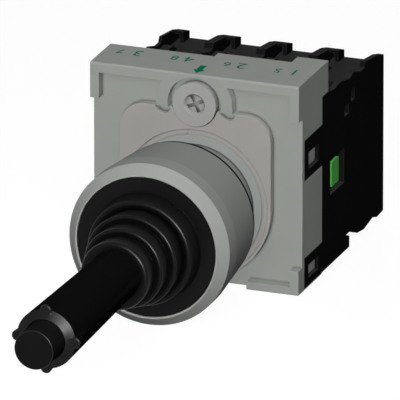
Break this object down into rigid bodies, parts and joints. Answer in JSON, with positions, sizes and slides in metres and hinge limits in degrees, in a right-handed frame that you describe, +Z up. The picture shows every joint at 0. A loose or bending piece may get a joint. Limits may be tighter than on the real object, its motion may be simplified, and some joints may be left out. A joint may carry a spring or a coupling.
{
  "type": "industrial joystick",
  "caption": "Panel-mounted joystick switch with a rubber-booted lever, a release button in its tip, a metal bezel and a clamped rear holder with contact modules.",
  "frame": {"origin": "centre of the panel's mounting hole in the panel's front face", "axes": "+X right as the operator sees it, +Y back through the panel, +Z up"},
  "size_m": [0.04, 0.1259, 0.0399],
  "materials": {
    "bezel_metal": "matt silver-grey metal",
    "collar_metal": "satin grey metal",
    "seal_rubber": "black rubber",
    "boot_rubber": "satin black rubber",
    "black_plastic": "fine-grained black moulding",
    "white_plastic": "natural moulding",
    "green_plastic": "green moulding",
    "holder_metal": "grey die-cast metal",
    "plate_metal": "satin zinc-grey metal",
    "steel": "plain steel",
    "spring_steel": "drawn wire",
    "brass": "plain brass"
  },
  "bodies": {
    "housing": {"bezel": "bezel_metal", "panel_seal": "seal_rubber", "actuator_body": "collar_metal", "gate_plate": "black_plastic", "boot_seat_ring": "black_plastic", "boot": "boot_rubber", "gimbal_pins": "steel", "centering_spring": "spring_steel", "holder_frame": "holder_metal", "locking_plate": "plate_metal", "clamp_screw": "plate_metal", "tappet_guide": "white_plastic", "module_cover_1": "black_plastic", "module_housing_1": "black_plastic", "fixed_contacts_1": "brass", "terminal_screws_1": "steel", "clamp_washers_1": "steel", "module_spring_1": "spring_steel", "module_cover_2": "black_plastic", "module_housing_2": "black_plastic", "fixed_contacts_2": "brass", "terminal_screws_2": "steel", "clamp_washers_2": "steel", "module_spring_2": "spring_steel", "module_cover_3": "black_plastic", "module_housing_3": "black_plastic", "fixed_contacts_3": "brass", "terminal_screws_3": "steel", "clamp_washers_3": "steel", "module_spring_3": "spring_steel", "module_cover_4": "black_plastic", "module_housing_4": "black_plastic", "fixed_contacts_4": "brass", "terminal_screws_4": "steel", "clamp_washers_4": "steel", "module_spring_4": "spring_steel"},
    "gimbal": {"gimbal_ring": "steel"},
    "lever": {"handle": "black_plastic", "lever_shaft": "steel", "shaft_pins": "steel", "rocker_disc": "white_plastic", "rocker_nut": "steel", "spring_cup": "steel", "release_spring": "spring_steel"},
    "release": {"release_button": "black_plastic", "release_rod": "steel"},
    "left_contact": {"tappet_left": "white_plastic", "plunger_1": "green_plastic", "contact_bridge_1": "brass"},
    "top_contact": {"tappet_top": "white_plastic", "plunger_2": "green_plastic", "contact_bridge_2": "brass"},
    "bottom_contact": {"tappet_bottom": "white_plastic", "plunger_3": "green_plastic", "contact_bridge_3": "brass"},
    "right_contact": {"tappet_right": "white_plastic", "plunger_4": "green_plastic", "contact_bridge_4": "brass"}
  },
  "joints": [
    {"name": "tilt_up_down", "type": "hinge", "parent": "housing", "child": "gimbal", "pos_m": [0, -0.0072, 0], "axis": [-1, 0, 0], "range_deg": [-12, 12], "stiffness_Nm_per_rad": 1.5, "deforming": ["boot", "centering_spring"]},
    {"name": "tilt_left_right", "type": "hinge", "parent": "gimbal", "child": "lever", "pos_m": [0, -0.0072, 0], "axis": [0, 0, 1], "range_deg": [-12, 12], "stiffness_Nm_per_rad": 1.5, "deforming": ["boot", "centering_spring"]},
    {"name": "release_press", "type": "slide", "parent": "lever", "child": "release", "axis": [0, 1, 0], "range_m": [0, 0.0027], "stiffness_N_per_m": 600, "springref_m": -0.004, "deforming": ["release_spring"]},
    {"name": "left_contact_slide", "type": "slide", "parent": "housing", "child": "left_contact", "axis": [0, 1, 0], "range_m": [-0.0013, 0.0013], "deforming": ["module_spring_1"]},
    {"name": "top_contact_slide", "type": "slide", "parent": "housing", "child": "top_contact", "axis": [0, 1, 0], "range_m": [-0.0013, 0.0013], "deforming": ["module_spring_2"]},
    {"name": "bottom_contact_slide", "type": "slide", "parent": "housing", "child": "bottom_contact", "axis": [0, 1, 0], "range_m": [-0.0013, 0.0013], "deforming": ["module_spring_3"]},
    {"name": "right_contact_slide", "type": "slide", "parent": "housing", "child": "right_contact", "axis": [0, 1, 0], "range_m": [-0.0013, 0.0013], "deforming": ["module_spring_4"]}
  ],
  "couplings": [
    {"joint": "left_contact_slide", "follows": "tilt_left_right", "m_per_rad": -0.0062},
    {"joint": "top_contact_slide", "follows": "tilt_up_down", "m_per_rad": 0.0062},
    {"joint": "bottom_contact_slide", "follows": "tilt_up_down", "m_per_rad": -0.0062},
    {"joint": "right_contact_slide", "follows": "tilt_left_right", "m_per_rad": 0.0062}
  ]
}
